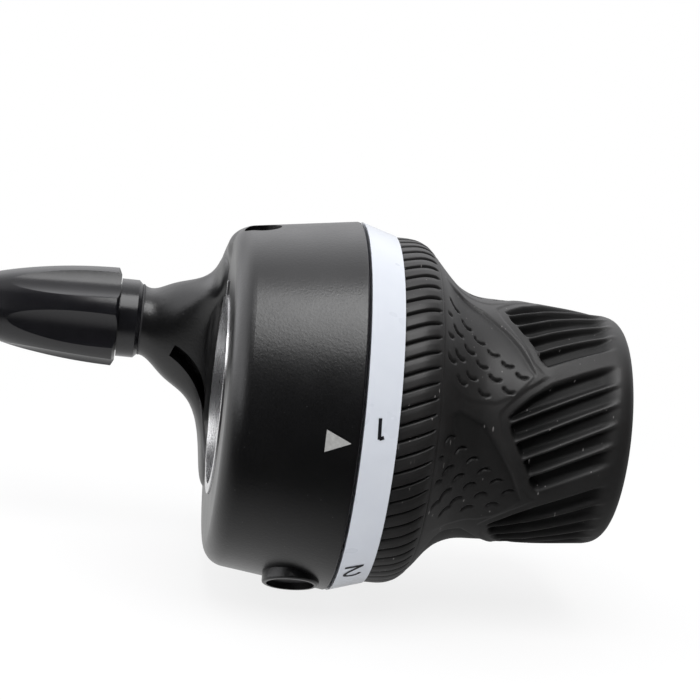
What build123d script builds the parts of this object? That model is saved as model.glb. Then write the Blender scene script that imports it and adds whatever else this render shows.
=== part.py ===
"""Left-hand twist grip shifter: clamp housing, turning grip with cable spool, and barrel adjuster."""

import os
from math import cos, hypot, pi, radians, sin

from build123d import *

# Sizes are in millimetres. The handlebar runs along X, the housing face is at X = 0 and the grip is at +X.
# Angles round the bar start at +Y and grow towards +Z.

# Handlebar and clearances
BAR_D = 22.2
CLAMP_GAP = 0.05
PASSAGE_GAP = 0.5
SLIP_GAP = 0.05
RUN_GAP = 0.1
SIDE_GAP = 0.1
MOUTH_GAP = 0.3
CUT_OVER = 1.0

# Clamp sleeve and its screw
SLEEVE_WALL = 1.25
SLEEVE_LENGTH = 6.6
SLEEVE_PROUD = 0.2
SLEEVE_SLIT = 2.6
SLIT_ANGLE = 72
LUG_ANGLE = 84
LUG_HEIGHT = 1.6
LUG_WIDTH = 1.6
LUG_THICKNESS = 0.65
CLAMP_ANGLE = 90
SCREW_D = 4.0
SCREW_LENGTH = 5.0
SCREW_KEY = 2.0
SCREW_KEY_DEPTH = 2.0
INSERT_D = 5.2
INSERT_LENGTH = 5.5
ACCESS_D = 4.5

# Housing shell
HOUSING_LENGTH = 15.3
HOUSING_TAPER = 2.2
HOUSING_EDGE = 2.8
HOUSING_LIP = 0.3
MOUTH_WALL = 2.05
FLOOR_WALL = 0.2
HUB_WALL = 1.4
HUB_REACH = 1.3

# Cable port on the underside
PORT_INSET = 4.8
PORT_ANGLE = -120
PORT_BOSS_D = 6.9
PORT_BOSS_PROUD = 0.2
PORT_BOSS_ROUND = 0.3
PORT_D = 5.8
PORT_DEPTH = 1.6
PORT_HOLE_D = 4.2
PLUG_HEAD = 0.8
PLUG_STEM = 1.5

# Horn that carries the cable from the adjuster into the housing
HORN_LENGTH = 10.0
HORN_INSET = 2.55
HORN_ANGLE = 16
HORN_WALL = 2.3
HORN_POINTS = 12
HORN_SECTIONS = [
    # share of the length, turn round the bar, inset of the middle, half width, half length, share of bend
    (0.74, 2.6, 0.1, 4.7, 5.7, 0.3),
    (0.50, 3.1, 0.4, 4.6, 7.35, 0.6),
    (0.30, 3.2, 0.8, 4.4, 8.8, 0.9),
    (0.14, 5.0, 1.1, 4.1, 11.9, 1.0),
    (0.05, 10.0, 1.2, 3.9, 17.5, 1.0),
    (-0.12, 10.0, 1.3, 3.7, 20.3, 1.0),
]
CABLE_HOLE_D = 2.4
SLOT_OUTLINE = [
    # share of the length and distance below the adjuster: corner, upper arc, tip, lower arc, back corner
    (0.54, 0.7), (0.24, 3.1), (0.085, 8.7), (0.31, 4.8), (0.60, 2.35),
]
SLOT_DEPTH = 2.6

# Spool stack inside the housing
WASHER_THICKNESS = 0.5
WASHER_RIM = 1.0
SPOOL_WALL = 3.9
GROOVE_D = 2.0
GROOVE_SINK = 0.4
GROOVE_INSET = 1.8
HEAD_POCKET_D = 4.2
HEAD_POCKET_FLOOR = 0.8
INDEX_THICKNESS = 1.6
INDEX_RIM = 1.6
NECK_WALL = 3.1
SHOULDER_STEP = 0.4
KEYS = 3
KEY_ANGLE = 90
KEY_D = 1.6
GEARS = 3
GEAR_STEP = 55
NOTCH_D = 2.6
NOTCH_LIFT = 0.5
SPRING_ROOM = 1.4
SPRING_ANGLE = -50
SPRING_DIP = 1.4
SPRING_TURNS = [-24, -17, -10, -4.5, 0, 4.5, 10, 17, 24]
SPRING_SHARES = [0.0, 0.0, 0.07, 0.39, 1.0, 0.39, 0.07, 0.0, 0.0]
SPRING_THICKNESS = 0.4
SPRING_WIDTH = 1.3
RETAINER_THICKNESS = 1.4
RETAINER_STEP = 0.9
RETAINER_REST = 0.2
SPOOL_SCREWS = 3
SPOOL_SCREW_ANGLE = 30
SPOOL_SCREW_WALL = 1.75
SPOOL_SCREW_D = 1.8
SPOOL_SCREW_HEAD_D = 2.8
SPOOL_SCREW_HEAD = 1.0
SPOOL_SCREW_BITE = 3.5
SPOOL_SCREW_SLOT = 0.4

# Indicator ring
RING_LENGTH = 4.1
RING_STEP = 0.05
RING_TAPER = 1.2
RING_WALL = 1.5

# Grip core
CORE_TUBE_WALL = 1.3
CORE_FLANGE_STEP = 0.8
CORE_FLANGE_LENGTH = 2.8
CORE_SLOPE_LENGTH = 6.5
CORE_HOLLOW_DEPTH = 5.0
CORE_HOLLOW_IN_WALL = 0.8
CORE_HOLLOW_OUT_WALL = 0.6
CORE_STOP_GAP = 0.4

# Grip rubber
GRIP_LENGTH = 29.7
END_COVER = 0.6
END_LIP = 0.3
COLLAR_STATIONS = [
    # distance from the ring, drop of the rib tops below the ring, depth of the grooves
    (0.0, 0.2, 0.4),
    (2.5, 0.2, 0.6),
    (4.8, 1.4, 0.35),
]
RUBBER_WALL = 2.3
SLOPE_STEP = 0.45
SLOPE_LENGTH = 7.0
SLOPE_HOLLOW = 1.35
NECK_LENGTH = 5.5
RIM_DROP = 0.85
RIM_ROUND = 2.0
RIBS = 70
RIB_EDGE = 0.8
RIB_TURN = 1.1
FIN_GROUPS = 6
FIN_LENGTHS = [9.3, 10.2, 11.3, 12.3, 12.7]
FIN_INSET = 0.7
FIN_STEP = 10
FIN_BAND_INSET = 9.4
FIN_BAND_ANGLE = 140
FIN_TURN = 1.85
FIN_GROOVE_D = 1.7
FIN_DEPTH = 0.65
FIN_END_DEPTH = 0.3

# Barrel adjuster
BOLT_D = 4.4
BOLT_BORE_D = 2.0
BOLT_REACH = 6.8
BOLT_ROOM = 0.4
BOLT_CHAMFER = 0.5
COLLAR_RING_STEP = 0.5
COLLAR_RING_LENGTH = 2.8
COLLAR_BEVEL = 0.55
COLLAR_TAIL_LENGTH = 4.5
COLLAR_TAIL_WALL = 0.6
COLLAR_FLOOR = 2.1
CHAMBER_STEP = 0.65
CHAMBER_ROOM = 1.6
KNOB_LENGTH = 19.5
KNOB_WALL = 2.05
KNOB_SHAPE = [
    # share of the length, share of the fall in radius
    (0.15, 0.025),
    (0.37, 0.14),
    (0.56, 0.32),
    (0.75, 0.56),
    (0.89, 0.79),
]
KNOB_END_WALL = 0.7
KNOB_END_ROUND = 0.4
KNOB_BEVEL = 0.9
KNOB_BEVEL_LENGTH = 0.4
KNOB_FLUTES = 6
KNOB_FLUTE_ANGLE = 188
KNOB_FLUTE_D = 10.0
KNOB_FLUTE_DEPTH = 0.85
KNOB_FLUTE_FALL = 1.05
SOCKET_D = 5.3
SOCKET_DEPTH = 7.2
COIL_WIRE = 0.5
COIL_TURNS = 5

# Radii from the bar outwards
BAR_R = BAR_D / 2
SLEEVE_IN_R = BAR_R + CLAMP_GAP
SLEEVE_OUT_R = SLEEVE_IN_R + SLEEVE_WALL
SLEEVE_SEAT_R = SLEEVE_OUT_R + SLIP_GAP
INSERT_R = SLEEVE_SEAT_R + SLIP_GAP
INSERT_TOP_R = INSERT_R + INSERT_LENGTH
PASSAGE_R = BAR_R + PASSAGE_GAP
HUB_R = PASSAGE_R + HUB_WALL
JOURNAL_R = HUB_R + RUN_GAP
SPOOL_SCREW_R = JOURNAL_R + SPOOL_SCREW_WALL
HEAD_POCKET_R = JOURNAL_R + HEAD_POCKET_FLOOR
NECK_R = JOURNAL_R + NECK_WALL
SHOULDER_R = NECK_R + SHOULDER_STEP
SPOOL_R = JOURNAL_R + SPOOL_WALL
GROOVE_R = SPOOL_R - GROOVE_SINK
WASHER_R = SPOOL_R + WASHER_RIM
INDEX_R = SPOOL_R + INDEX_RIM
NOTCH_R = INDEX_R + NOTCH_LIFT
CAVITY_R = INDEX_R + SPRING_ROOM
SPRING_R = CAVITY_R - SLIP_GAP - SPRING_THICKNESS / 2
RETAINER_SEAT_R = CAVITY_R + RETAINER_STEP
HOUSING_MOUTH_R = RETAINER_SEAT_R + MOUTH_WALL
HOUSING_FACE_R = HOUSING_MOUTH_R - HOUSING_TAPER
PORT_BOSS_R = HOUSING_MOUTH_R + PORT_BOSS_PROUD
PORT_FLOOR_R = PORT_BOSS_R - PORT_DEPTH
RING_INBOARD_R = HOUSING_MOUTH_R - RING_STEP
RING_OUTBOARD_R = RING_INBOARD_R - RING_TAPER
RING_INNER_R = RING_OUTBOARD_R - RING_WALL
CORE_FLANGE_R = RING_INNER_R - CORE_FLANGE_STEP
CORE_HOLLOW_IN_R = SHOULDER_R + CORE_HOLLOW_IN_WALL
CORE_HOLLOW_OUT_R = CORE_FLANGE_R - CORE_HOLLOW_OUT_WALL
CORE_TUBE_R = PASSAGE_R + CORE_TUBE_WALL
LIP_R = PASSAGE_R + END_LIP
SLOPE_TOP_R = RING_OUTBOARD_R - COLLAR_STATIONS[-1][1] - SLOPE_STEP
NECK_GRIP_R = CORE_TUBE_R + RUBBER_WALL
RIM_R = NECK_GRIP_R - RIM_DROP
FIN_FLOOR_R = NECK_GRIP_R - FIN_DEPTH
FIN_END_FLOOR_R = RIM_R - FIN_END_DEPTH

# Places along the bar
SLEEVE_END_X = SLEEVE_LENGTH - SLEEVE_PROUD
CLAMP_X = SLEEVE_LENGTH / 2
FLOOR_X = SLEEVE_END_X + FLOOR_WALL
WASHER_END_X = FLOOR_X + WASHER_THICKNESS
SPOOL_X = WASHER_END_X + SIDE_GAP
RETAINER_END_X = HOUSING_LENGTH - RETAINER_REST
RETAINER_X = RETAINER_END_X - RETAINER_THICKNESS
INDEX_END_X = RETAINER_X - SIDE_GAP
INDEX_X = INDEX_END_X - INDEX_THICKNESS
GROOVE_X = INDEX_X - GROOVE_INSET
SPRING_X = INDEX_X + (INDEX_THICKNESS - SPRING_WIDTH) / 2
PORT_X = HOUSING_LENGTH - PORT_INSET
RING_X = HOUSING_LENGTH + MOUTH_GAP
RING_END_X = RING_X + RING_LENGTH
HUB_END_X = RING_END_X + HUB_REACH
CORE_STOP_X = HUB_END_X + CORE_STOP_GAP
CORE_FLANGE_END_X = RING_END_X + CORE_FLANGE_LENGTH
CORE_SLOPE_END_X = CORE_FLANGE_END_X + CORE_SLOPE_LENGTH
CORE_HOLLOW_END_X = RING_X + CORE_HOLLOW_DEPTH
GRIP_END_X = RING_END_X + GRIP_LENGTH
CORE_END_X = GRIP_END_X - END_COVER
SLOPE_X = RING_END_X + COLLAR_STATIONS[-1][0]
NECK_X = SLOPE_X + SLOPE_LENGTH
BULGE_X = NECK_X + NECK_LENGTH
RIM_X = GRIP_END_X - RIM_ROUND
FIN_END_X = RIM_X - FIN_INSET
FIN_BAND_X = GRIP_END_X - FIN_BAND_INSET

# Adjuster, measured from its own axis
HORN_X = -HORN_LENGTH
HORN_R = HOUSING_FACE_R - HORN_INSET
ADJUSTER = Pos(0, HORN_R * cos(radians(HORN_ANGLE)), HORN_R * sin(radians(HORN_ANGLE)))
BOLT_R = BOLT_D / 2
BOLT_HOLE_R = BOLT_R + RUN_GAP
BOLT_END_X = HORN_X + BOLT_REACH
BOLT_HOLE_END_X = BOLT_END_X + BOLT_ROOM
HORN_NECK_R = BOLT_HOLE_R + HORN_WALL
COLLAR_X = HORN_X - SIDE_GAP
COLLAR_FLOOR_X = COLLAR_X - COLLAR_FLOOR
COLLAR_RING_R = HORN_NECK_R + COLLAR_RING_STEP
COLLAR_RING_END_X = COLLAR_X - COLLAR_RING_LENGTH
COLLAR_TAIL_X = COLLAR_RING_END_X - COLLAR_TAIL_LENGTH
CHAMBER_R = COLLAR_RING_R - CHAMBER_STEP
CHAMBER_END_X = COLLAR_TAIL_X - CHAMBER_ROOM
COLLAR_TAIL_R = CHAMBER_R - RUN_GAP
COLLAR_TAIL_IN_R = COLLAR_TAIL_R - COLLAR_TAIL_WALL
KNOB_X = COLLAR_RING_END_X - SIDE_GAP
KNOB_R = CHAMBER_R + KNOB_WALL
KNOB_END_X = KNOB_X - KNOB_LENGTH
SOCKET_R = SOCKET_D / 2
SOCKET_END_X = KNOB_END_X + SOCKET_DEPTH
KNOB_END_R = SOCKET_R + KNOB_END_WALL
KNOB_FLUTE_MIDDLE_R = KNOB_R - KNOB_FLUTE_DEPTH + KNOB_FLUTE_D / 2
COIL_R = (BOLT_R + COLLAR_TAIL_IN_R) / 2


def turned(*outline):
    """Solid of revolution about X from a closed outline of (x, radius) points."""
    return revolve(make_face(Polyline(*outline, close=True)), Axis.X)


def place(x, radius, angle):
    """Point at x, at a radius and an angle round the bar."""
    return Vector(x, radius * cos(radians(angle)), radius * sin(radians(angle)))


def outwards(x, angle):
    """Plane at x on the bar axis whose normal points away from the axis at the given angle."""
    return Plane(origin=(x, 0, 0), x_dir=(1, 0, 0), z_dir=place(0, 1, angle))


def peg(x, angle, diameter, inner, outer):
    """Round peg square to the bar axis, from an inner radius to an outer one."""
    shape = Cylinder(diameter / 2, outer - inner, align=(Align.CENTER, Align.CENTER, Align.MIN))
    return outwards(x, angle) * Pos(0, 0, inner) * shape


def rod(start, end, diameter, radius=0, angle=0):
    """Round rod along X from start to end, at a radius and an angle from the axis."""
    return bar_between(place(start, radius, angle), place(end, radius, angle), diameter)


def bar_between(start, end, diameter):
    """Round rod between two points."""
    shape = Cylinder(diameter / 2, (end - start).length, align=(Align.CENTER, Align.CENTER, Align.MIN))
    return Plane(origin=start, z_dir=end - start) * shape


def horn_section(share, turn, inset, half_width, half_length, bend):
    """Closed smooth outline across the horn: an ellipse that bends round the bar by the given share."""
    x = share * HORN_X
    base = radians(HORN_ANGLE - turn)
    points = []
    for step in range(HORN_POINTS):
        t = 2 * pi * step / HORN_POINTS
        out = HORN_R - inset + half_width * cos(t)
        side = half_length * sin(t)
        straight = Vector(x, out * cos(base) + side * sin(base), out * sin(base) - side * cos(base))
        bent = Vector(x, out * cos(base - side / out), out * sin(base - side / out))
        points.append(straight + (bent - straight) * bend)
    return make_face(Spline(*points, periodic=True))


def make_horn():
    """Flared horn from the adjuster's end face into the housing."""
    neck = (1, 0, 0, HORN_NECK_R, HORN_NECK_R, 0)
    return loft([horn_section(*row) for row in [neck] + HORN_SECTIONS])


def horn_cuts():
    """Thread hole and cable hole along the adjuster, and the claw-shaped slot that faces the bar."""
    thread = rod(HORN_X - CUT_OVER, BOLT_HOLE_END_X, 2 * BOLT_HOLE_R)
    cable = rod(BOLT_HOLE_END_X - CUT_OVER, FLOOR_X + CUT_OVER, CABLE_HOLE_D)
    facing = Plane(origin=(0, SLOT_DEPTH - HORN_NECK_R, 0), x_dir=(1, 0, 0), z_dir=(0, -1, 0))
    corner, upper, tip, lower, back = [(share * HORN_X, -side) for share, side in SLOT_OUTLINE]
    claw = [ThreePointArc(corner, upper, tip), ThreePointArc(tip, lower, back), Line(back, corner)]
    slot = extrude(facing * make_face(claw), SLOT_DEPTH + HORN_NECK_R)
    return [ADJUSTER * thread, ADJUSTER * cable, ADJUSTER * Rot(HORN_ANGLE, 0, 0) * slot]


def make_lug(gap):
    """Small lug at the sleeve's front edge, grown by a gap on all sides."""
    thickness = LUG_THICKNESS + 2 * gap
    width = LUG_WIDTH + 2 * gap
    height = SLEEVE_WALL / 2 + LUG_HEIGHT + gap
    block = Box(thickness, width, height, align=(Align.MIN, Align.CENTER, Align.MIN))
    return outwards(-SLEEVE_PROUD - gap, LUG_ANGLE) * Pos(0, 0, SLEEVE_OUT_R - SLEEVE_WALL / 2) * block


def make_housing():
    """Moulded shell: clamp ring, spool cavity and hub, with the horn and the cable port."""
    outline = make_face(Polyline(
        (0, SLEEVE_SEAT_R), (0, HOUSING_FACE_R), (HOUSING_LENGTH, HOUSING_MOUTH_R),
        (HOUSING_LENGTH, RETAINER_SEAT_R), (RETAINER_X, RETAINER_SEAT_R), (RETAINER_X, CAVITY_R),
        (FLOOR_X, CAVITY_R), (FLOOR_X, HUB_R), (HUB_END_X, HUB_R), (HUB_END_X, PASSAGE_R),
        (SLEEVE_END_X, PASSAGE_R), (SLEEVE_END_X, SLEEVE_SEAT_R), close=True))
    edge = outline.vertices().sort_by_distance((0, HOUSING_FACE_R))[0]
    outline = fillet(edge, HOUSING_EDGE)
    lip = outline.vertices().sort_by_distance((HOUSING_LENGTH, HOUSING_MOUTH_R))[0]
    outline = fillet(lip, HOUSING_LIP)
    boss = peg(PORT_X, PORT_ANGLE, PORT_BOSS_D, RETAINER_SEAT_R, PORT_BOSS_R)
    rim = max(boss.edges(), key=lambda line: hypot(line.center().Y, line.center().Z))
    shell = revolve(outline, Axis.X) + make_horn() + fillet(rim, PORT_BOSS_ROUND)
    cuts = [
        peg(CLAMP_X, CLAMP_ANGLE, INSERT_D + 2 * SLIP_GAP, BAR_R, INSERT_TOP_R),
        peg(CLAMP_X, CLAMP_ANGLE, ACCESS_D, BAR_R, HOUSING_MOUTH_R + CUT_OVER),
        peg(PORT_X, PORT_ANGLE, PORT_D, PORT_FLOOR_R, PORT_BOSS_R + CUT_OVER),
        peg(PORT_X, PORT_ANGLE, PORT_HOLE_D, CAVITY_R - CUT_OVER, PORT_BOSS_R + CUT_OVER),
        make_lug(SLIP_GAP),
    ]
    return shell - cuts - horn_cuts()


def make_clamp_sleeve():
    """Split metal sleeve that the screw squeezes onto the bar, with a lug that keeps it from turning."""
    ring = turned((-SLEEVE_PROUD, SLEEVE_IN_R), (-SLEEVE_PROUD, SLEEVE_OUT_R),
                  (SLEEVE_END_X, SLEEVE_OUT_R), (SLEEVE_END_X, SLEEVE_IN_R))
    slit = Box(2 * SLEEVE_LENGTH, SLEEVE_SLIT, BAR_D, align=(Align.CENTER, Align.CENTER, Align.MIN))
    return ring + make_lug(0) - outwards(0, SLIT_ANGLE) * slit


def make_clamp_insert():
    """Threaded bush that backs the clamp screw."""
    bush = peg(CLAMP_X, CLAMP_ANGLE, INSERT_D, INSERT_R, INSERT_TOP_R)
    return bush - peg(CLAMP_X, CLAMP_ANGLE, SCREW_D + 2 * SLIP_GAP, BAR_R, INSERT_TOP_R + CUT_OVER)


def make_clamp_screw():
    """Set screw with a hexagon socket, its tip on the sleeve."""
    top = SLEEVE_OUT_R + SCREW_LENGTH
    body = peg(CLAMP_X, CLAMP_ANGLE, SCREW_D, SLEEVE_OUT_R, top)
    socket = extrude(RegularPolygon(SCREW_KEY / 2, 6, major_radius=False), SCREW_KEY_DEPTH)
    return body - outwards(CLAMP_X, CLAMP_ANGLE) * Pos(0, 0, top - SCREW_KEY_DEPTH) * socket


def make_port_plug():
    """Push-in plug of the cable port."""
    head = peg(PORT_X, PORT_ANGLE, PORT_D - 2 * SLIP_GAP, PORT_FLOOR_R, PORT_FLOOR_R + PLUG_HEAD)
    return head + peg(PORT_X, PORT_ANGLE, PORT_HOLE_D - 2 * SLIP_GAP, PORT_FLOOR_R - PLUG_STEM, PORT_FLOOR_R)


def make_thrust_washer():
    """Flat washer between the housing floor and the spool."""
    return turned((FLOOR_X, JOURNAL_R), (FLOOR_X, WASHER_R),
                  (WASHER_END_X, WASHER_R), (WASHER_END_X, JOURNAL_R))


def make_retaining_ring():
    """Ring in the mouth of the housing that keeps the index ring in."""
    inner = SHOULDER_R + MOUTH_GAP
    outer = RETAINER_SEAT_R - SLIP_GAP
    return turned((RETAINER_X, inner), (RETAINER_X, outer),
                  (RETAINER_END_X, outer), (RETAINER_END_X, inner))


def make_detent_spring():
    """Leaf spring along the cavity wall, bent inwards into a notch of the index ring."""
    shape = zip(SPRING_TURNS, SPRING_SHARES)
    middle = [place(0, SPRING_R - share * SPRING_DIP, SPRING_ANGLE + turn) for turn, share in shape]
    strip = trace(Spline(*[(point.Y, point.Z) for point in middle]), SPRING_THICKNESS)
    return Pos(SPRING_X, 0, 0) * extrude(Plane.YZ * strip, SPRING_WIDTH)


def screw_places():
    """Angles of the screws that hold the spool to the grip core."""
    return [SPOOL_SCREW_ANGLE + 360 * count / SPOOL_SCREWS for count in range(SPOOL_SCREWS)]


def key_rods(diameter):
    """Round keys between the index ring and the neck of the core."""
    angles = [KEY_ANGLE + 360 * count / KEYS for count in range(KEYS)]
    return [rod(INDEX_X, INDEX_END_X, diameter, NECK_R, angle) for angle in angles]


def make_cable_spool():
    """Drum with the cable groove, the pocket for the cable head and the screw holes."""
    drum = turned((SPOOL_X, JOURNAL_R), (SPOOL_X, SPOOL_R), (INDEX_X, SPOOL_R), (INDEX_X, JOURNAL_R))
    groove = Pos(GROOVE_X, 0, 0) * Rot(0, 90, 0) * Torus(GROOVE_R, GROOVE_D / 2)
    middle = (SPOOL_X + INDEX_X) / 2
    cuts = [groove, peg(middle, PORT_ANGLE, HEAD_POCKET_D, HEAD_POCKET_R, SPOOL_R + CUT_OVER)]
    for angle in screw_places():
        hole_d = SPOOL_SCREW_D + 2 * SLIP_GAP
        head_d = SPOOL_SCREW_HEAD_D + 2 * SLIP_GAP
        cuts.append(rod(SPOOL_X - CUT_OVER, INDEX_X + CUT_OVER, hole_d, SPOOL_SCREW_R, angle))
        cuts.append(rod(SPOOL_X - CUT_OVER, SPOOL_X + SPOOL_SCREW_HEAD, head_d, SPOOL_SCREW_R, angle))
    return drum - cuts


def make_index_ring():
    """Ring with one notch for each gear, keyed to the neck of the core."""
    inner = NECK_R + SLIP_GAP
    ring = turned((INDEX_X, inner), (INDEX_X, INDEX_R), (INDEX_END_X, INDEX_R), (INDEX_END_X, inner))
    ring = ring + key_rods(KEY_D)
    notches = []
    for gear in range(GEARS):
        angle = SPRING_ANGLE + GEAR_STEP * gear
        notches.append(rod(INDEX_X - CUT_OVER, INDEX_END_X + CUT_OVER, NOTCH_D, NOTCH_R, angle))
    return ring - notches


def make_spool_screws():
    """Slotted screws from the spool into the core."""
    screws = []
    for angle in screw_places():
        head = rod(SPOOL_X, SPOOL_X + SPOOL_SCREW_HEAD, SPOOL_SCREW_HEAD_D, SPOOL_SCREW_R, angle)
        shank = rod(SPOOL_X, INDEX_X + SPOOL_SCREW_BITE, SPOOL_SCREW_D, SPOOL_SCREW_R, angle)
        slot = Box(SPOOL_SCREW_HEAD, SPOOL_SCREW_HEAD_D + CUT_OVER, SPOOL_SCREW_SLOT)
        screws.append(head + shank - Pos(place(SPOOL_X, SPOOL_SCREW_R, angle)) * slot)
    return Compound(children=screws)


def make_grip_core():
    """Tube that turns on the hub, with the flange for the ring and the seat for the rubber."""
    core = turned(
        (INDEX_X, JOURNAL_R), (INDEX_X, NECK_R), (INDEX_END_X, NECK_R), (INDEX_END_X, SHOULDER_R),
        (RING_X, SHOULDER_R), (RING_X, RING_INNER_R), (RING_END_X, RING_INNER_R), (RING_END_X, CORE_FLANGE_R),
        (CORE_FLANGE_END_X, CORE_FLANGE_R), (CORE_SLOPE_END_X, CORE_TUBE_R), (CORE_END_X, CORE_TUBE_R),
        (CORE_END_X, PASSAGE_R), (CORE_STOP_X, PASSAGE_R), (CORE_STOP_X, JOURNAL_R))
    hollow = turned((RING_X, CORE_HOLLOW_IN_R), (RING_X, CORE_HOLLOW_OUT_R),
                    (CORE_HOLLOW_END_X, CORE_HOLLOW_OUT_R), (CORE_HOLLOW_END_X, CORE_HOLLOW_IN_R))
    holes = []
    for angle in screw_places():
        holes.append(rod(INDEX_X - CUT_OVER, INDEX_X + SPOOL_SCREW_BITE, SPOOL_SCREW_D, SPOOL_SCREW_R, angle))
    return core - hollow - holes - key_rods(KEY_D + 2 * SLIP_GAP)


def make_indicator_ring():
    """Pale ring that carries the gear numbers."""
    return turned((RING_X, RING_INNER_R), (RING_X, RING_INBOARD_R),
                  (RING_END_X, RING_OUTBOARD_R), (RING_END_X, RING_INNER_R))


def rib_outline(along, drop, depth):
    """Outline across the collar: flat ribs with a V groove between each two."""
    pitch = 360 / RIBS
    top = RING_OUTBOARD_R - drop
    points = []
    for count in range(RIBS):
        angle = pitch * count - RIB_TURN * along
        points.append(place(RING_END_X + along, top - depth, angle))
        points.append(place(RING_END_X + along, top, angle + RIB_EDGE))
        points.append(place(RING_END_X + along, top, angle + pitch - RIB_EDGE))
    return make_face(Polyline(*points, close=True))


def make_collar():
    """Ribbed collar, its ribs twisted round the bar, open for the core's flange."""
    solid = loft([rib_outline(*row) for row in COLLAR_STATIONS], ruled=True)
    start = RING_END_X - CUT_OVER
    inside = turned((start, 0), (start, CORE_FLANGE_R), (CORE_FLANGE_END_X, CORE_FLANGE_R),
                    (CORE_SLOPE_END_X, CORE_TUBE_R), (CORE_SLOPE_END_X, 0))
    return solid - inside


def fin_end(x, floor, angle):
    """Middle of a fin groove at x, above its floor, on the slant that passes the band at the given angle."""
    return place(x, floor + FIN_GROOVE_D / 2, angle - FIN_TURN * (x - FIN_BAND_X))


def fin_grooves():
    """Slanted round grooves between the fins, in groups with a plain band between them."""
    grooves = []
    for group in range(FIN_GROUPS):
        for order, length in enumerate(FIN_LENGTHS, start=1):
            angle = FIN_BAND_ANGLE - 360 * group / FIN_GROUPS - FIN_STEP * order
            start = fin_end(FIN_END_X - length, FIN_FLOOR_R, angle)
            end = fin_end(FIN_END_X, FIN_END_FLOOR_R, angle)
            grooves.append(bar_between(start, end, FIN_GROOVE_D))
    return grooves


def make_grip_rubber():
    """Soft sleeve over the core: ribbed collar, hollow slope, slanted fins and a plain round rim."""
    share = (SLOPE_X - CORE_FLANGE_END_X) / CORE_SLOPE_LENGTH
    slope_in_r = CORE_FLANGE_R + share * (CORE_TUBE_R - CORE_FLANGE_R)
    rim_fall = Vector(RIM_X - BULGE_X, RIM_R - NECK_GRIP_R)
    slope_middle = (NECK_X - SLOPE_LENGTH / 2, NECK_GRIP_R + SLOPE_HOLLOW)
    slope = ThreePointArc((SLOPE_X, SLOPE_TOP_R), slope_middle, (NECK_X, NECK_GRIP_R))
    body = Polyline((NECK_X, NECK_GRIP_R), (BULGE_X, NECK_GRIP_R), (RIM_X, RIM_R))
    rim = TangentArc((RIM_X, RIM_R), (GRIP_END_X, RIM_R - RIM_ROUND), tangent=rim_fall)
    inside = Polyline(
        (GRIP_END_X, RIM_R - RIM_ROUND), (GRIP_END_X, LIP_R), (CORE_END_X, LIP_R), (CORE_END_X, CORE_TUBE_R),
        (CORE_SLOPE_END_X, CORE_TUBE_R), (SLOPE_X, slope_in_r), (SLOPE_X, SLOPE_TOP_R))
    sleeve = revolve(make_face([slope, body, rim, inside]), Axis.X)
    return sleeve - fin_grooves() + make_collar()


def make_adjuster_collar():
    """Ring that sits on the horn, with a tail inside the knob that holds the spring."""
    return ADJUSTER * turned(
        (COLLAR_X, BOLT_HOLE_R), (COLLAR_X, COLLAR_RING_R - COLLAR_BEVEL),
        (COLLAR_X - COLLAR_BEVEL, COLLAR_RING_R), (COLLAR_RING_END_X, COLLAR_RING_R),
        (COLLAR_RING_END_X, COLLAR_TAIL_R), (COLLAR_TAIL_X, COLLAR_TAIL_R),
        (COLLAR_TAIL_X, COLLAR_TAIL_IN_R), (COLLAR_FLOOR_X, COLLAR_TAIL_IN_R), (COLLAR_FLOOR_X, BOLT_HOLE_R))


def make_adjuster_knob():
    """Fluted bullet-shaped knob with the socket for the cable housing and the spring chamber."""
    shoulder = (KNOB_X - KNOB_BEVEL_LENGTH, KNOB_R)
    mouth = Polyline((KNOB_X, CHAMBER_R), (KNOB_X, KNOB_R - KNOB_BEVEL), shoulder)
    fall = KNOB_R - KNOB_END_R
    points = [(KNOB_X - along * KNOB_LENGTH, KNOB_R - share * fall) for along, share in KNOB_SHAPE]
    curve = Spline(shoulder, *points, (KNOB_END_X, KNOB_END_R))
    inside = Polyline(
        (KNOB_END_X, KNOB_END_R), (KNOB_END_X, SOCKET_R), (SOCKET_END_X, SOCKET_R), (SOCKET_END_X, BOLT_R),
        (CHAMBER_END_X, BOLT_R), (CHAMBER_END_X, CHAMBER_R), (KNOB_X, CHAMBER_R))
    outline = make_face([mouth, curve, inside])
    tip = outline.vertices().sort_by_distance((KNOB_END_X, KNOB_END_R))[0]
    knob = revolve(fillet(tip, KNOB_END_ROUND), Axis.X)
    flutes = []
    for count in range(KNOB_FLUTES):
        angle = KNOB_FLUTE_ANGLE + 360 * count / KNOB_FLUTES
        mouth_end = place(KNOB_X + CUT_OVER, KNOB_FLUTE_MIDDLE_R, angle)
        far_end = place(KNOB_END_X, KNOB_FLUTE_MIDDLE_R - KNOB_FLUTE_FALL, angle)
        flutes.append(bar_between(mouth_end, far_end, KNOB_FLUTE_D))
    return ADJUSTER * (knob - flutes)


def make_adjuster_bolt():
    """Hollow threaded bolt held in the knob and screwed into the horn."""
    bore = BOLT_BORE_D / 2
    return ADJUSTER * turned(
        (SOCKET_END_X, bore), (SOCKET_END_X, BOLT_R), (BOLT_END_X - BOLT_CHAMFER, BOLT_R),
        (BOLT_END_X, BOLT_R - BOLT_CHAMFER), (BOLT_END_X, bore))


def make_adjuster_spring():
    """Coil spring between the knob and the collar."""
    start = CHAMBER_END_X + COIL_WIRE / 2
    height = COLLAR_FLOOR_X - COIL_WIRE / 2 - start
    path = Helix(height / COIL_TURNS, height, COIL_R)
    wire = Plane(origin=path @ 0, z_dir=path % 0) * Circle(COIL_WIRE / 2)
    return ADJUSTER * Pos(start, 0, 0) * Rot(0, 90, 0) * sweep(wire, path, is_frenet=True)


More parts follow.
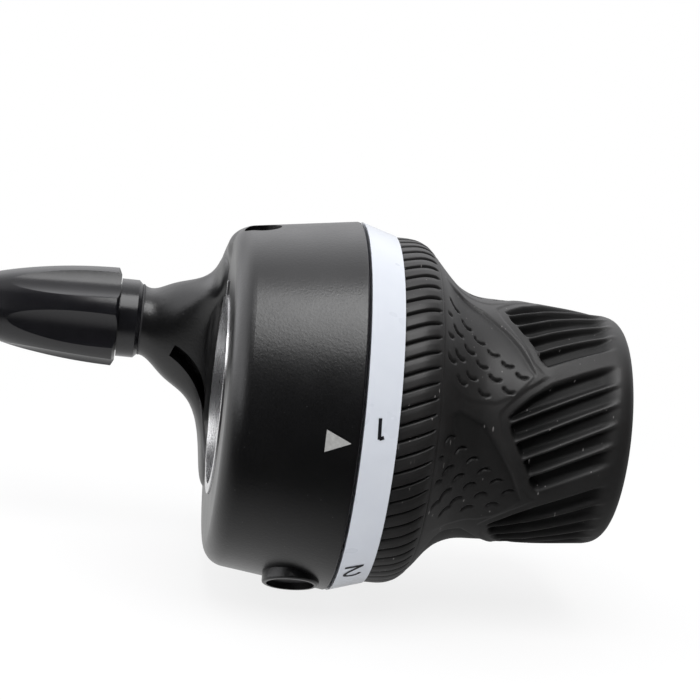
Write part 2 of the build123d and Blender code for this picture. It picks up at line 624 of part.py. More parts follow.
NODES = {
    "housing": make_housing,
    "clamp_sleeve": make_clamp_sleeve,
    "clamp_insert": make_clamp_insert,
    "clamp_screw": make_clamp_screw,
    "port_plug": make_port_plug,
    "thrust_washer": make_thrust_washer,
    "retaining_ring": make_retaining_ring,
    "detent_spring": make_detent_spring,
    "cable_spool": make_cable_spool,
    "index_ring": make_index_ring,
    "spool_screws": make_spool_screws,
    "grip_core": make_grip_core,
    "indicator_ring": make_indicator_ring,
    "grip_rubber": make_grip_rubber,
    "adjuster_collar": make_adjuster_collar,
    "adjuster_knob": make_adjuster_knob,
    "adjuster_bolt": make_adjuster_bolt,
    "adjuster_spring": make_adjuster_spring,
}

os.makedirs("parts", exist_ok=True)
for name, make in NODES.items():
    export_step(make(), f"parts/{name}.step")
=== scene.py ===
"""Looks of a three-speed twist grip shifter: finishes, moulded rubber, printed marks, light and camera."""

from math import cos, radians, sin

import bpy
import numpy as np
from mathutils import Matrix, Vector


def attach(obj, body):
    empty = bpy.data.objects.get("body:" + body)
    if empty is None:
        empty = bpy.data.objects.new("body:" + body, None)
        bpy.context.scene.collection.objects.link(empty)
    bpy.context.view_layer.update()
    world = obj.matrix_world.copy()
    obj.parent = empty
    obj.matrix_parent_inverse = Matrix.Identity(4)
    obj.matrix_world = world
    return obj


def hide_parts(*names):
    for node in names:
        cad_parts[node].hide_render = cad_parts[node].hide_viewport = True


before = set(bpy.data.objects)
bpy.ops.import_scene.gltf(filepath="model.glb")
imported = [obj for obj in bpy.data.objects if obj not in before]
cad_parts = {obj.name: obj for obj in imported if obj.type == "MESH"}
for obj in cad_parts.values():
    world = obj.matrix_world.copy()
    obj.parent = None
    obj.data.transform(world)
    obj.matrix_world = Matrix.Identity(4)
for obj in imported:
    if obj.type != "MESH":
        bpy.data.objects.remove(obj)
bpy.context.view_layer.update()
MM = 0.001

# Shapes shared with the CAD part, in millimetres and degrees; angles start at -Y and grow towards +Z
RING_X, RING_END_X = 15.6, 19.7
RING_R, RING_END_R = 22.9, 21.7
HOUSING_R, HOUSING_MOUTH_R, HOUSING_LENGTH = 20.75, 22.95, 15.3
EDGE_X, EDGE_R, EDGE_ROUND, EDGE_SWEEP = 2.8, 18.324, 2.8, 81.8
HORN_END_X, HORN_NECK_R, HORN_AXIS_R, HORN_AXIS_ANGLE = -10.0, 4.6, 18.2, 164.0

# Web from the housing's edge to the horn: angles where it starts, grows and fades, its reach and its lip
WEB_START, WEB_SWELL, WEB_FADE, WEB_END = (96.5, 106.0), (108.0, 150.0), (172.0, 226.0), 232.0
WEB_REACH, WEB_GROWTH, WEB_LIP, WEB_SUNK = 0.45, 0.75, 2.8, 0.05
WEB_COLUMNS, WEB_ARC_ROWS, WEB_LIP_ROWS = 160, 24, 13

# Dark seam where the adjuster's collar sits on the horn: (along, out) from the edge of the horn's end face
SEAM_LINE = [(-0.30, -0.40), (-0.16, -0.04), (-0.06, 0.03), (0.04, 0.03), (0.14, -0.02), (0.30, -0.30)]
SEAM_ROWS, SEAM_COLUMNS = 16, 120

# Rubber body from the collar to its rim: (x, r) points, its grid, and the relief over which its colour turns
# from painted shade in the valleys to pale, worn crests
BODY_LINE = [
    (24.5, 20.0), (24.9, 19.75), (26.0, 18.55), (27.2, 17.3), (28.4, 16.3), (30.0, 15.55),
    (31.5, 15.25), (34.0, 15.2), (37.0, 15.2), (42.0, 14.85), (46.0, 14.5), (47.4, 14.35),
    (48.4, 14.0), (49.1, 13.3), (49.36, 12.5), (49.37, 12.05), (49.27, 11.9), (48.9, 11.9),
]
BODY_ROWS, BODY_COLUMNS, BODY_DENSE_TO = 156, 636, 37.5
BODY_WEAR_AND_SHADE = (-0.60, 0.0)

# Rubber pattern: degrees in each of its six sectors, and millimetres to a degree on the unrolled grip
PATTERN = 60.0
UNROLL = 0.27

# Sunk patch of a sector: (x, angle) points of its two edges, its soft border and start, its depth and tilt
PATCH_TOP = [
    (25.2, 72), (27.6, 75), (30.6, 70.5), (32.0, 64), (33.5, 56.5), (34.8, 49), (35.9, 41), (36.5, 35.4),
]
PATCH_FOOT = [(25.2, 25), (27.2, 21), (29.0, 19.5), (32.0, 20), (34.0, 23.5), (35.3, 28.5), (36.5, 35.0)]
PATCH = PATCH_TOP + PATCH_FOOT[::-1]
PATCH_BORDER, PATCH_START = (-0.25, 0.30), (25.2, 27.2)
PATCH_DEPTH, PATCH_TILT, PATCH_LEAST_SPAN = 0.36, 0.46, 3.0

# Half-moon pips in the patch: rows of (first x, angle), (step in x, angle) and count, then one pip's form
PIP_ROWS = [
    ((35.2, 36.0), (-1.72, 5.1), 6),
    ((33.6, 28.4), (-1.66, 5.2), 6),
    ((30.6, 25.9), (-1.70, 6.4), 4),
    ((27.6, 29.0), (-1.70, 6.8), 2),
]
PIP_R, PIP_RAMP, PIP_DEPTH, PIP_CORE = 0.96, 0.34, 0.46, 0.01
PIP_WALL, PIP_SPREAD = (-0.01, 0.13), (0.44, 0.76)
PIP_WAY_ROUND, PIP_WAY_INBOARD = 0.94, 0.34

# Field of a sector: (x, angle) points of its outline, and the shallow shelf round it
FIELD = [
    (33.6, 74.5), (34.1, 67), (35.2, 59), (36.5, 50.5), (37.3, 43), (38.2, 39.5), (47.6, 56.9),
    (48.6, 61.5), (48.6, 106.5), (47.6, 107.9), (38.8, 91.5), (36.2, 84.5), (34.4, 78),
]
SHELF_DEPTH, SHELF_BORDER, SHELF_FADE = 0.14, (-1.25, -0.85), (37.0, 39.0)

# Slanted fins in the field: angles of their crests at one x, their form, and the valleys between them
FIN_CRESTS = [82.8, 72.8, 62.7, 52.7]
FIN_X, FIN_TURN, FIN_PITCH = 40.0, 1.85, 10.1
FIN_STEEP, FIN_GENTLE, FIN_POWER, FIN_RISE = 0.12, 0.20, 2.6, 0.92
VALLEY_DEPTH, VALLEY_LOSS, VALLEY_BORDER = 1.40, 0.60, (-0.10, 0.75)
VALLEY_SHOALS, VALLEY_FADE = (36.0, 45.0), (44.6, 47.5)

# Ribbed collar: (x, r) points, its ribs, the groove between each two in shares of a rib, and its ends
COLLAR_LINE = [
    (19.72, 19.45), (19.72, 21.3), (19.8, 21.45), (20.2, 21.5), (21.6, 21.5),
    (22.6, 21.35), (23.6, 20.95), (24.3, 20.4), (24.55, 20.1), (24.5, 19.6),
]
COLLAR_ROWS, RIB_COLUMNS = 64, 20
RIBS, RIB_TURN, RIB_FALL, RIB_FALL_TO = 70, 1.1, 0.20, 0.42
GROOVE_MIDDLE, GROOVE_WIDTH, GROOVE_DEPTH = 0.5, 0.075, 0.45
GROOVE_START, GROOVE_FADE, GROOVE_LEAST_R = (19.6, 19.9), (23.7, 24.4), 19.9
# Painted shade in the grooves: how far into a groove's bell the rubber turns from pale to dark
GROOVE_SHADE = (0.1, 0.7)

# Printed numbers: the angle of each one's middle on the ring, and its strokes as (side, up) points
NUMBERS = {
    "1": (6.7, [
        [(-0.62, 0.94), (-0.08, 1.14)],
        [(-0.08, 1.20), (0.05, -1.18)],
    ]),
    "2": (-48.3, [
        [(-0.95, 0.62), (-0.72, 1.05), (0.0, 1.28), (0.75, 1.0), (0.82, 0.45), (0.35, -0.15), (-0.45, -0.8),
         (-0.98, -1.2)],
        [(-1.12, -1.22), (1.12, -1.22)],
    ]),
    "3": (-103.3, [
        [(-0.8, 0.85), (-0.4, 1.2), (0.1, 1.27), (0.62, 1.0), (0.62, 0.45), (0.2, 0.1), (-0.2, 0.05)],
        [(-0.2, 0.05), (0.3, 0.0), (0.75, -0.35), (0.7, -0.95), (0.1, -1.27), (-0.45, -1.2), (-0.85, -0.8)],
    ]),
}
NUMBER_X, NUMBER_STROKE, NUMBER_PROUD = 17.42, 0.42, 0.03
STROKE_ROWS, STROKE_COLUMNS = 40, 4

# Printed pointer: (x, angle) of its tip, x and angles of its base, and how much of its length is printed
POINTER_TIP, POINTER_BASE_X, POINTER_BASE = (14.35, 1.8), 11.4, (-1.6, 5.1)
POINTER_PRINTED, POINTER_PROUD = 0.97, 0.04
POINTER_ROWS, POINTER_COLUMNS = 14, 8

# Camera matched to the photograph: turns in degrees, and a point on the bar's axis as the camera sees it
CAMERA_YAW, CAMERA_ROLL, CAMERA_RISE = 6.991, 5.724, 10.9
CAMERA_AIM, AIM_SEEN_AT = (15.5, 0.0, 0.0), (-1.042, 6.892, 252.246)
FOCAL_PIXELS, PICTURE_PIXELS, SENSOR_WIDTH = 2025.4, 700, 36.0

# Stage: height and half width of the floor, and the point that the lights face
FLOOR_Z, FLOOR_HALF = -23.6, 2000.0
OBJECT_MIDDLE = (20, 0, 0)
PURE_WHITE = (1.0, 1.0, 1.0)


class Socket:
    """A node output that can be used in sums like a number, in one node tree."""

    def __init__(self, tree, output):
        self.tree = tree
        self.output = output

    def make(self, kind, output=0, settings=None, **inputs):
        """Any other node, fed by the named inputs: i6 is input number 6, and _ stands for a space."""
        node = self.tree.nodes.new(kind)
        for key, value in (settings or {}).items():
            setattr(node, key, value)
        for key, value in inputs.items():
            numbered = key[0] == "i" and key[1:].isdigit()
            entry = node.inputs[int(key[1:])] if numbered else node.inputs[key.replace("_", " ")]
            if isinstance(value, Socket):
                self.tree.links.new(value.output, entry)
            else:
                entry.default_value = value
        return Socket(self.tree, node.outputs[output])

    def math(self, operation, other):
        return self.make("ShaderNodeMath", settings={"operation": operation}, i0=self, i1=other)

    def __add__(self, other):
        return self.math("ADD", other)

    def __sub__(self, other):
        return self.math("SUBTRACT", other)

    def __mul__(self, other):
        return self.math("MULTIPLY", other)

    def __rsub__(self, other):
        return (self * -1.0) + other

    __radd__ = __add__
    __rmul__ = __mul__

    def above(self, edge, soft):
        """0 below the edge and 1 above it, with a soft step."""
        return self.make("ShaderNodeMapRange", settings={"interpolation_type": "SMOOTHSTEP"},
                         Value=self, From_Min=edge - soft, From_Max=edge + soft)

    def part(self, way):
        """One part of a vector: 0 for x, 1 for y, 2 for z."""
        return self.make("ShaderNodeSeparateXYZ", way, Vector=self)

    def noise(self, size_mm, detail):
        """Noise whose grains are about the given size."""
        return self.make("ShaderNodeTexNoise", "Fac",
                         Vector=self, Scale=1.0 / (size_mm * MM), Detail=detail)

    def dots(self, cell_mm, radius, softness=0.35):
        """Scattered round specks, one in each cell, 1 inside a speck."""
        spread = self.make("ShaderNodeTexVoronoi", "Distance", Vector=self, Scale=1.0 / (cell_mm * MM))
        return 1.0 - spread.above(radius, radius * softness)

    def between(self, low, high):
        """A colour between two colours, by this share."""
        return self.make("ShaderNodeMix", 2, settings={"data_type": "RGBA"},
                         i0=self, i6=(*low, 1.0), i7=(*high, 1.0))

    def rays(self):
        """Two shares: 1 for rays straight from the camera, and 1 for rays by way of a mirror or a glass."""
        seen = self.make("ShaderNodeLightPath", "Is Camera Ray")
        glossy = self.make("ShaderNodeLightPath", "Is Glossy Ray")
        return seen, glossy + self.make("ShaderNodeLightPath", "Is Transmission Ray")


def coordinates(tree, kind):
    """Texture coordinates of the given kind, to start a node tree's sums."""
    return Socket(tree, tree.nodes.new("ShaderNodeTexCoord").outputs[kind])


def blank_material(name, specular):
    """New material, with its node tree and its shader."""
    made = bpy.data.materials.new(name)
    made.use_nodes = True
    shader = made.node_tree.nodes["Principled BSDF"]
    shader.inputs["Specular IOR Level"].default_value = specular
    return made, made.node_tree, shader


def material(name, paint, metallic=0.0, coat=0.0, specular=0.5):
    """New material; paint(coordinates) gives its colour, roughness, bump height and bump depth in mm."""
    made, tree, shader = blank_material(name, specular)
    shader.inputs["Metallic"].default_value = metallic
    shader.inputs["Coat Weight"].default_value = coat
    coords = coordinates(tree, "Object")
    colour, roughness, height, depth = paint(coords)
    bump = coords.make("ShaderNodeBump", Height=height, Distance=depth * MM, Strength=1.0)
    for entry, value in (("Base Color", colour), ("Roughness", roughness), ("Normal", bump)):
        tree.links.new(value.output, shader.inputs[entry])
    return made


def moulded_black(coords):
    """Satin black plastic with a fine moulded grain and a few pale flecks."""
    grain = coords.noise(0.30, 2.0)
    cloud = coords.noise(5.0, 2.0)
    fleck = coords.dots(0.7, 0.09) * coords.noise(1.4, 1.0).above(0.60, 0.05)
    colour = (fleck * 0.5 + cloud * 0.02).between((0.0018, 0.0018, 0.0022), (0.09, 0.09, 0.095))
    return colour, cloud * 0.10 + grain * 0.10 + 0.22, grain, 0.018


def smooth_black(coords):
    """Smooth black plastic with faint handling marks."""
    cloud = coords.noise(3.0, 3.0)
    fine = coords.noise(0.3, 2.0)
    colour = cloud.between((0.004, 0.004, 0.005), (0.009, 0.009, 0.011))
    return colour, cloud * 0.10 + fine * 0.04 + 0.15, fine, 0.004


def dull_black(coords):
    """Dull black plastic of covered parts."""
    cloud = coords.noise(1.5, 3.0)
    colour = cloud.between((0.010, 0.010, 0.011), (0.026, 0.026, 0.028))
    return colour, cloud * 0.15 + 0.45, coords.noise(0.25, 2.0), 0.008


def rubber(coords):
    """Dark rubber with a dusty bloom and a few pale specks, smoother and paler on raised places partly by
    wear; painted shade darkens its valleys and grooves.
    """
    raised = coords.make("ShaderNodeAttribute", "Fac", settings={"attribute_name": "raised"})
    cloud = coords.noise(4.0, 4.0)
    grain = coords.noise(0.20, 2.0)
    lint = coords.make("ShaderNodeMapping", Vector=coords, Rotation=(0.7, 0.5, 0.0), Scale=(1.0, 1.0, 0.22))
    speck = lint.dots(0.9, 0.085) * coords.noise(2.5, 1.0).above(0.46, 0.05)
    # Painted shade: the colour follows the raised share, so valleys and grooves stay darkest; the crests'
    # paleness is partly wear
    tone = raised * (cloud * 0.08 + 0.03) + speck * 0.85
    colour = tone.between((0.0015, 0.0015, 0.0015), (0.17, 0.162, 0.160))
    return colour, cloud * 0.10 + grain * 0.08 - raised * 0.20 + 0.56, grain, 0.008


def glossy_white(coords):
    """Glossy bluish white plastic with a hint of flow marks."""
    cloud = coords.noise(4.0, 2.0)
    colour = cloud.between((0.60, 0.63, 0.69), (0.66, 0.69, 0.74))
    return colour, cloud * 0.10 + 0.24, cloud, 0.001


def natural_plastic(coords):
    """Off-white acetal."""
    cloud = coords.noise(2.0, 2.0)
    colour = cloud.between((0.62, 0.61, 0.57), (0.72, 0.71, 0.67))
    return colour, cloud * 0.12 + 0.34, coords.noise(0.4, 2.0), 0.005


def drawn_steel(coords):
    """Bright steel with turning marks round the bar."""
    marks = coords.make("ShaderNodeMapping", Vector=coords, Scale=(6.0, 0.4, 0.4)).noise(0.5, 3.0)
    cloud = coords.noise(3.0, 3.0)
    colour = cloud.between((0.58, 0.58, 0.59), (0.80, 0.80, 0.81))
    return colour, marks * 0.18 + cloud * 0.10 + 0.14, marks, 0.003


def plated_steel(coords):
    """Dull plated steel."""
    cloud = coords.noise(0.9, 3.0)
    colour = cloud.between((0.42, 0.42, 0.44), (0.66, 0.66, 0.68))
    return colour, cloud * 0.2 + 0.25, coords.noise(0.15, 2.0), 0.005


def turned_brass(coords):
    """Brass with a slight tarnish."""
    cloud = coords.noise(0.9, 3.0)
    colour = cloud.between((0.52, 0.37, 0.13), (0.74, 0.56, 0.24))
    return colour, cloud * 0.2 + 0.22, coords.noise(0.15, 2.0), 0.005


def ink(coords):
    """Near-black print."""
    cloud = coords.noise(0.5, 2.0)
    colour = cloud.between((0.005, 0.005, 0.008), (0.010, 0.010, 0.014))
    return colour, cloud * 0.2 + 0.45, cloud, 0.002


def silver_print(coords):
    """Pale grey print with a grainy surface."""
    cloud = coords.noise(0.35, 2.0)
    colour = cloud.between((0.24, 0.24, 0.23), (0.42, 0.42, 0.41))
    return colour, cloud * 0.2 + 0.45, cloud, 0.004


MOULDED = material("moulded_black_plastic", moulded_black, specular=0.62)
SMOOTH = material("smooth_black_plastic", smooth_black)
DULL = material("dull_black_plastic", dull_black)
RUBBER = material("dusty_rubber", rubber, specular=0.42)
WHITE = material("glossy_white_plastic", glossy_white, coat=0.2)
NATURAL = material("natural_plastic", natural_plastic)
SLEEVE = material("drawn_steel", drawn_steel, metallic=1.0)
PLATED = material("plated_steel", plated_steel, metallic=1.0)
BRASS = material("turned_brass", turned_brass, metallic=1.0)
INK = material("ink", ink, specular=0.3)
SILVER = material("silver_print", silver_print)

FINISH = {
    "housing": MOULDED, "clamp_sleeve": SLEEVE, "clamp_insert": BRASS, "clamp_screw": PLATED,
    "port_plug": DULL, "thrust_washer": NATURAL, "retaining_ring": DULL, "detent_spring": PLATED,
    "cable_spool": NATURAL, "index_ring": DULL, "spool_screws": PLATED, "grip_core": DULL,
    "indicator_ring": WHITE, "adjuster_collar": SMOOTH, "adjuster_knob": SMOOTH, "adjuster_bolt": PLATED,
    "adjuster_spring": PLATED,
}
for node, finish in FINISH.items():
    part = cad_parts[node]
    part.data.materials.clear()
    part.data.materials.append(finish)


def place(x, r, angle):
    """Points at x, at radius r and at an angle in degrees round the bar, as an array of xyz in metres."""
    x, r, turn = np.broadcast_arrays(x, r, np.radians(angle))
    return np.stack([x, -r * np.cos(turn), r * np.sin(turn)], axis=-1) * MM


def add_object(name, data):
    """New object that carries the data, in the scene."""
    made = bpy.data.objects.new(name, data)
    bpy.context.scene.collection.objects.link(made)
    return made


def surface(name, grids, finish, body, closed=False, raised=None):
    """Mesh object from grids of points, with a quad between each four neighbours.

    In a closed grid the last column is joined to the first, and its points come in an order that faces
    outwards. An open grid is turned to face away from the bar."""
    corners, quads, start = [], [], 0
    for points in grids:
        rows, columns = points.shape[:2]
        index = start + np.arange(rows * columns).reshape(rows, columns)
        near = index if closed else index[:, :-1]
        far = np.roll(index, -1, axis=1) if closed else index[:, 1:]
        across = np.cross(points[1, 0] - points[0, 0], points[0, 1] - points[0, 0])
        from_bar = points[0, 0] * (0, 1, 1)
        if not closed and across @ from_bar < 0:
            near, far = far, near
        corners.append(points.reshape(-1, 3))
        quads.append(np.stack([near[:-1], near[1:], far[1:], far[:-1]], axis=-1).reshape(-1, 4))
        start += rows * columns
    corners, quads = np.vstack(corners), np.vstack(quads)
    mesh = bpy.data.meshes.new(name)
    mesh.vertices.add(len(corners))
    mesh.vertices.foreach_set("co", corners.reshape(-1).astype(np.float32))
    mesh.loops.add(quads.size)
    mesh.loops.foreach_set("vertex_index", quads.reshape(-1).astype(np.int32))
    mesh.polygons.add(len(quads))
    mesh.polygons.foreach_set("loop_start", np.arange(0, quads.size, 4, dtype=np.int32))
    mesh.polygons.foreach_set("use_smooth", np.ones(len(quads), dtype=bool))
    mesh.update(calc_edges=True)
    mesh.validate()
    # The raised share for the rubber: paler, smoother crests partly by wear, and painted shade in low places
    if raised is not None:
        share = mesh.attributes.new("raised", "FLOAT", "POINT")
        share.data.foreach_set("value", raised.reshape(-1).astype(np.float32))
    mesh.materials.append(finish)
    made = add_object(name, mesh)
    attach(made, body)
    return made


def smooth_line(knots, count, dense_to=np.inf, thinning=0.4, steps=60):
    """Points along a smooth curve through the knots (Catmull-Rom), evenly spaced along its length.

    Past dense_to in x each length counts for less, by the thinning, so points lie further apart there."""
    knots = np.array(knots, float)
    ends = np.vstack([2 * knots[0] - knots[1], knots, 2 * knots[-1] - knots[-2]])
    a, b, c, d = ends[:-3, None], ends[1:-2, None], ends[2:-1, None], ends[3:, None]
    t = np.linspace(0, 1, steps, endpoint=False)[None, :, None]
    fine = 0.5 * (2 * b + (c - a) * t + (2 * a - 5 * b + 4 * c - d) * t**2 + (3 * b - a - 3 * c + d) * t**3)
    fine = np.vstack([fine.reshape(-1, 2), knots[-1]])
    step = np.hypot(*np.diff(fine, axis=0).T) * np.where(fine[1:, 0] < dense_to, 1.0, thinning)
    length = np.concatenate([[0], np.cumsum(step)])
    even = np.linspace(0, length[-1], count)
    return np.stack([np.interp(even, length, fine[:, k]) for k in (0, 1)], axis=-1)


def full_circle(count):
    """Angles in degrees of evenly spaced columns all round, as one row."""
    return np.arange(count)[None, :] * 360 / count


def soft_step(value, low, high):
    """0 at low, 1 at high, smooth between."""
    t = np.clip((value - low) / (high - low), 0, 1)
    return t * t * (3 - 2 * t)


def outline_distance(x, angle, outline):
    """Distance in mm to a closed outline of (x, angle) points on the unrolled grip, below 0 inside it.

    It is the least distance to any side. Inside, a line from the point crosses an odd number of sides."""
    y = angle * UNROLL
    far = np.full(np.broadcast(x, y).shape, np.inf)
    inside = np.zeros(far.shape, bool)
    for (x0, a0), (x1, a1) in zip(outline, outline[1:] + outline[:1]):
        y0, y1 = a0 * UNROLL, a1 * UNROLL
        side_x, side_y = x1 - x0, y1 - y0
        t = np.clip(((x - x0) * side_x + (y - y0) * side_y) / (side_x**2 + side_y**2), 0, 1)
        far = np.minimum(far, np.hypot(x - x0 - t * side_x, y - y0 - t * side_y))
        if side_y:
            inside ^= ((y0 > y) != (y1 > y)) & (x < x0 + (y - y0) * side_x / side_y)
    return np.where(inside, -far, far)


def pip_depth(x, angle, sector):
    """Depth of the half-moon pips: inside each disc a ramp falls to one edge and ends there in a sharp wall.

    Sectors take turns: the deep edges face smaller angles in one sector and larger angles in the next."""
    depth = np.zeros(np.broadcast(x, angle).shape)
    turned = np.where(np.mod(sector, 2) < 0.5, -1.0, 1.0)
    for (start_x, start_angle), (step_x, step_angle), count in PIP_ROWS:
        for k in range(count):
            dx, dy = x - start_x - k * step_x, (angle - start_angle - k * step_angle) * UNROLL
            reach = np.hypot(dx, dy)
            out = reach - PIP_R
            ramp = np.clip(1 + out / PIP_RAMP, 0, 1) * (1 - soft_step(out, *PIP_WALL))
            facing = (PIP_WAY_ROUND * turned * dy - PIP_WAY_INBOARD * dx) / np.maximum(reach, PIP_CORE)
            depth = np.maximum(depth, ramp * soft_step(facing, *PIP_SPREAD))
    return PIP_DEPTH * depth


def fin_height(x, angle):
    """1 on a fin's crest and 0 between two: a flat-topped bell across the slant, steeper on one side."""
    slant = angle - FIN_TURN * (x - FIN_X)
    height = np.zeros(np.broadcast(x, angle).shape)
    for crest in FIN_CRESTS:
        off = (crest - slant) / FIN_PITCH
        width = np.where(off > 0, FIN_STEEP, FIN_GENTLE)
        height = np.maximum(height, np.exp(-np.abs(off / width)**FIN_POWER))
    return height


def grip_relief(x, angle):
    """Height of the moulded pattern at (x, angle), repeated in every sector.

    The patch is a tilted plane, sunk along its top edge and just proud along its foot, with rows of pips.
    The field lies on a shallow shelf. Its valleys are deep inboard and die out before the rim, and the fins
    stand in them."""
    relief = np.zeros(np.broadcast(x, angle).shape)
    base = np.mod(angle, PATTERN)
    top = np.interp(x, *np.transpose(PATCH_TOP))
    foot = np.interp(x, *np.transpose(PATCH_FOOT))
    for turn in (base, base + PATTERN):
        patch = soft_step(-outline_distance(x, turn, PATCH), *PATCH_BORDER)
        tilt = np.clip((top - turn) / np.maximum(top - foot, PATCH_LEAST_SPAN), 0, 1)
        relief += patch * soft_step(x, *PATCH_START) * (PATCH_TILT * tilt - PATCH_DEPTH)
        relief -= patch * pip_depth(x, turn, np.round((angle - turn) / PATTERN))
        rim = -outline_distance(x, turn, FIELD)
        relief -= SHELF_DEPTH * soft_step(rim, *SHELF_BORDER) * (1 - soft_step(x, *SHELF_FADE))
        depth = VALLEY_DEPTH - VALLEY_LOSS * soft_step(x, *VALLEY_SHOALS)
        depth = depth * (1 - soft_step(x, *VALLEY_FADE))
        relief -= soft_step(rim, *VALLEY_BORDER) * depth * (1 - FIN_RISE * fin_height(x, turn))
    return relief


def rubber_body():
    """Rubber from the collar to the end rim: the body line spun round the bar plus the moulded relief."""
    line = smooth_line(BODY_LINE, BODY_ROWS, BODY_DENSE_TO)
    angle = full_circle(BODY_COLUMNS)
    x, r = line[:, :1], line[:, 1:]
    relief = grip_relief(x, angle)
    # Painted shade in sunk places: the raised share keeps them dark, and raised places paler and smoother
    raised = soft_step(relief, *BODY_WEAR_AND_SHADE)
    grid = place(x, r + relief, angle)
    body = surface("rubber_body", [grid], RUBBER, "grip", closed=True, raised=raised)
    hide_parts("grip_rubber")


def rubber_collar():
    """Ribbed collar: the collar line spun round the bar, with a narrow slanted groove between two ribs.

    A groove is a bell across the rib, and one side of each rib falls a little towards it."""
    line = smooth_line(COLLAR_LINE, COLLAR_ROWS)
    angle = full_circle(RIBS * RIB_COLUMNS)
    x, r = line[:, :1], line[:, 1:]
    phase = np.mod((angle - RIB_TURN * (x - RING_END_X)) * RIBS / 360, 1.0)
    groove = np.exp(-((phase - GROOVE_MIDDLE) / GROOVE_WIDTH)**2)
    groove = groove + RIB_FALL * soft_step(phase, 0.0, RIB_FALL_TO) * (phase < GROOVE_MIDDLE)
    groove = groove * soft_step(x, *GROOVE_START) * (1 - soft_step(x, *GROOVE_FADE)) * (r > GROOVE_LEAST_R)
    grid = place(x, r - GROOVE_DEPTH * groove, angle)
    # Painted shade: the grooves get the rubber's dark colour, the ribs the paler one
    raised = 1 - soft_step(groove, *GROOVE_SHADE)
    surface("rubber_collar", [grid], RUBBER, "grip", closed=True, raised=raised)


def on_ring(x, angle):
    """Points just proud of the number ring's cone."""
    share = (x - RING_X) / (RING_END_X - RING_X)
    return place(x, RING_R + share * (RING_END_R - RING_R) + NUMBER_PROUD, angle)


def on_housing(x, angle):
    """Points just proud of the housing's cone."""
    share = x / HOUSING_LENGTH
    return place(x, HOUSING_R + share * (HOUSING_MOUTH_R - HOUSING_R) + POINTER_PROUD, angle)


def number(text, middle_angle, strokes):
    """Printed number on the ring: ribbons carried along its strokes, with its top towards smaller angles."""
    grids = []
    across = np.linspace(-NUMBER_STROKE / 2, NUMBER_STROKE / 2, STROKE_COLUMNS)[None, :, None]
    for knots in strokes:
        line = smooth_line(knots, STROKE_ROWS)
        way = np.gradient(line, axis=0)
        way /= np.hypot(*way.T)[:, None]
        flat = line[:, None] + across * np.stack([-way[:, 1], way[:, 0]], axis=-1)[:, None]
        grids.append(on_ring(NUMBER_X - flat[..., 0], middle_angle - np.degrees(flat[..., 1] / RING_END_R)))
    surface("number_" + text, grids, INK, "grip")


def pointer():
    """Printed pointer on the housing: straight rows that shrink from its base to its tip."""
    along = np.linspace(0, POINTER_PRINTED, POINTER_ROWS)[:, None]
    across = np.linspace(0, 1, POINTER_COLUMNS)[None, :]
    x = POINTER_BASE_X + along * (POINTER_TIP[0] - POINTER_BASE_X) + 0 * across
    base = POINTER_BASE[0] + across * (POINTER_BASE[1] - POINTER_BASE[0])
    angle = base + along * (POINTER_TIP[1] - base)
    surface("pointer", [on_housing(x, angle)], SILVER, "housing")


def horn_web():
    """Web between the housing and its horn: the arc of the housing's rounded edge, spun round the bar.

    It is drawn out along the bar by a reach that grows towards the horn and fades past it. Its lip falls
    back to the end face in a soft step, and its ends and its long edges lie sunk in the housing."""
    angle = np.linspace(WEB_START[0], WEB_END, WEB_COLUMNS)[None, :]
    present = soft_step(angle, *WEB_START) * (1 - soft_step(angle, *WEB_FADE))
    reach = (WEB_REACH + WEB_GROWTH * soft_step(angle, *WEB_SWELL)) * present
    share = np.linspace(1, 0, WEB_ARC_ROWS)[:, None]
    sweep = np.radians(EDGE_SWEEP * share)
    arc_x = EDGE_X - EDGE_ROUND * np.cos(sweep) - reach * (1 - share**2)
    arc_r = EDGE_R + EDGE_ROUND * np.sin(sweep) + 0 * angle
    fall = np.linspace(0, 1, WEB_LIP_ROWS + 1)[1:, None]
    lip_x = -reach * (1 - soft_step(fall, 0, 1))
    lip_r = EDGE_R - WEB_LIP * fall + 0 * angle
    sunk = WEB_SUNK * (1 - present)
    x, r = np.vstack([arc_x, lip_x]) + sunk, np.vstack([arc_r, lip_r]) - sunk
    r[0] -= WEB_SUNK
    x[-1] += WEB_SUNK
    surface("horn_web", [place(x, r, angle)], MOULDED, "housing")


def collar_seam():
    """Seam between horn and collar: the seam line spun round the adjuster's axis."""
    line = smooth_line(SEAM_LINE, SEAM_ROWS)
    around = np.radians(full_circle(SEAM_COLUMNS))
    out = HORN_NECK_R + line[:, 1:]
    middle = place(HORN_END_X + line[:, :1], HORN_AXIS_R, HORN_AXIS_ANGLE)
    ring = np.stack([0 * out * around, out * np.sin(around), out * np.cos(around)], axis=-1) * MM
    surface("collar_seam", [middle + ring], DULL, "housing", closed=True)


def set_camera():
    """Camera matched to the photograph: square picture, the principal point in the middle.

    The turn's columns are the part's axes as the camera sees them, in shares of right, down and forward. A
    Blender camera counts up and backward instead of down and forward."""
    yaw, roll, rise = radians(CAMERA_YAW), radians(CAMERA_ROLL), radians(CAMERA_RISE)
    along = np.array([cos(yaw) * cos(roll), cos(yaw) * sin(roll), sin(yaw)])
    up = np.array([sin(roll), -cos(roll), 0.0])
    near = np.cross(along, up)
    away = sin(rise) * up - cos(rise) * near
    high = sin(rise) * near + cos(rise) * up
    turn = np.stack([along, away, high], axis=1)
    spot = np.array(CAMERA_AIM) - turn.T @ np.array(AIM_SEEN_AT)
    local = np.diag([1.0, -1.0, -1.0]) @ turn
    data = bpy.data.cameras.new("camera")
    data.sensor_width = SENSOR_WIDTH
    data.lens = SENSOR_WIDTH * FOCAL_PIXELS / PICTURE_PIXELS
    data.clip_start = 10 * MM
    camera = add_object("camera", data)
    camera.matrix_world = Matrix.Translation((spot * MM).tolist()) @ Matrix(local.T.tolist()).to_4x4()
    bpy.context.scene.camera = camera


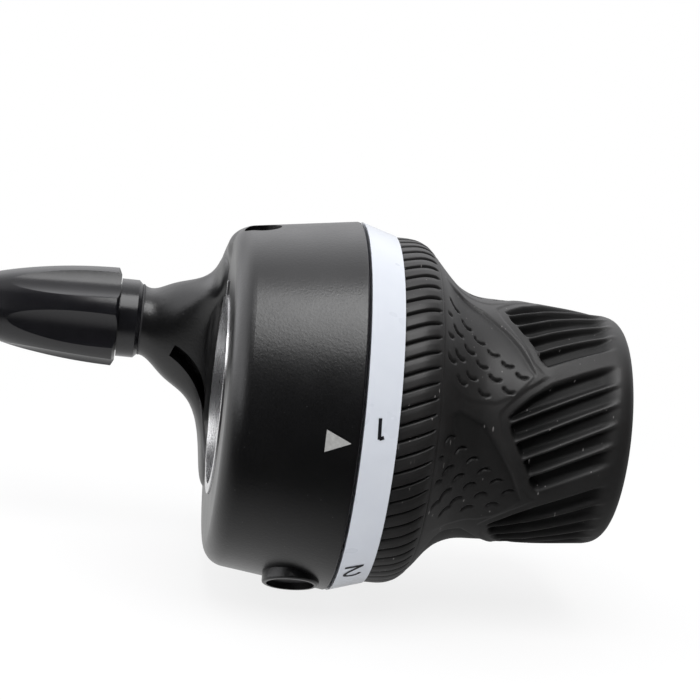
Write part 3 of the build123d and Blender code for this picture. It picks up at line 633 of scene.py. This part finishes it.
def floor_material():
    """White floor that keeps a soft shadow near the object and looks dark to reflections in front of it."""
    made, tree, shader = blank_material("pale_floor", specular=0.0)
    shader.inputs["Roughness"].default_value = 0.8
    shader.inputs["Base Color"].default_value = (0.86, 0.86, 0.86, 1.0)
    coords = coordinates(tree, "Object")
    seen, mirrored = coords.rays()
    # To reflections the floor glows like a lamp: brighter behind the object, dimmer in front of it and
    # outboard
    beyond = coords.part(1).above(-24 * MM, 22 * MM)
    outboard = coords.part(0).above(20 * MM, 14 * MM)
    reflected = beyond * (0.80 - outboard * 0.55) + 0.04
    strength = seen + mirrored * reflected
    white = coords.make("ShaderNodeEmission", Color=(*PURE_WHITE, 1.0), Strength=strength)
    away = coords.make("ShaderNodeVectorMath", "Value", settings={"operation": "DISTANCE"},
                       i0=coords, i1=Vector(OBJECT_MIDDLE) * MM)
    share = seen * (away.above(90 * MM, 60 * MM) * 0.18 + 0.82) + mirrored
    mixed = coords.make("ShaderNodeMixShader", i0=share, i1=Socket(tree, shader.outputs["BSDF"]), i2=white)
    tree.links.new(mixed.output, tree.nodes["Material Output"].inputs["Surface"])
    return made


def set_floor():
    """Square floor under the object."""
    size, z = FLOOR_HALF * MM, FLOOR_Z * MM
    mesh = bpy.data.meshes.new("floor")
    corners = [(-size, -size, z), (size, -size, z), (size, size, z), (-size, size, z)]
    mesh.from_pydata(corners, [], [(0, 1, 2, 3)])
    mesh.materials.append(floor_material())
    floor = add_object("floor", mesh)


def set_surround():
    """World that the camera sees as white, and that lights the object from above, behind and the left."""
    world = bpy.data.worlds.new("surround")
    bpy.context.scene.world = world
    world.use_nodes = True
    tree = world.node_tree
    back = tree.nodes["Background"]
    way = coordinates(tree, "Generated")
    seen, mirrored = way.rays()
    overhead = (way.part(2) + way.part(1) * 0.35).above(0.72, 0.20)
    behind = way.part(1).above(0.35, 0.3)
    left = (0.0 - way.part(0)).above(0.65, 0.25)
    studio = overhead * 0.95 + behind * 0.35 + left * 1.9 + 0.03
    backdrop = mirrored * way.part(1).above(0.45, 0.3) * 0.45
    strength = seen + (1.0 - seen) * studio + backdrop
    tree.links.new(strength.output, back.inputs["Strength"])
    tree.links.new(seen.between((0.98, 0.98, 1.0), PURE_WHITE).output, back.inputs["Color"])


def area_light(name, spot, size, power, glossy=True):
    """Soft square light at a spot, facing the object, in millimetres and watts."""
    data = bpy.data.lights.new(name, "AREA")
    data.size = size * MM
    data.energy = power
    lamp = add_object(name, data)
    lamp.rotation_euler = (Vector(spot) - Vector(OBJECT_MIDDLE)).to_track_quat("Z", "Y").to_euler()
    lamp.location = Vector(spot) * MM
    lamp.visible_glossy = glossy


horn_web()
collar_seam()
rubber_body()
rubber_collar()
for text, (middle_angle, strokes) in NUMBERS.items():
    number(text, middle_angle, strokes)
pointer()

set_camera()
set_floor()
set_surround()
area_light("key", spot=(40, -125, 280), size=220, power=0.72)
area_light("fill", spot=(20, -400, 60), size=300, power=0.16, glossy=False)
bpy.context.scene.view_settings.view_transform = "Standard"
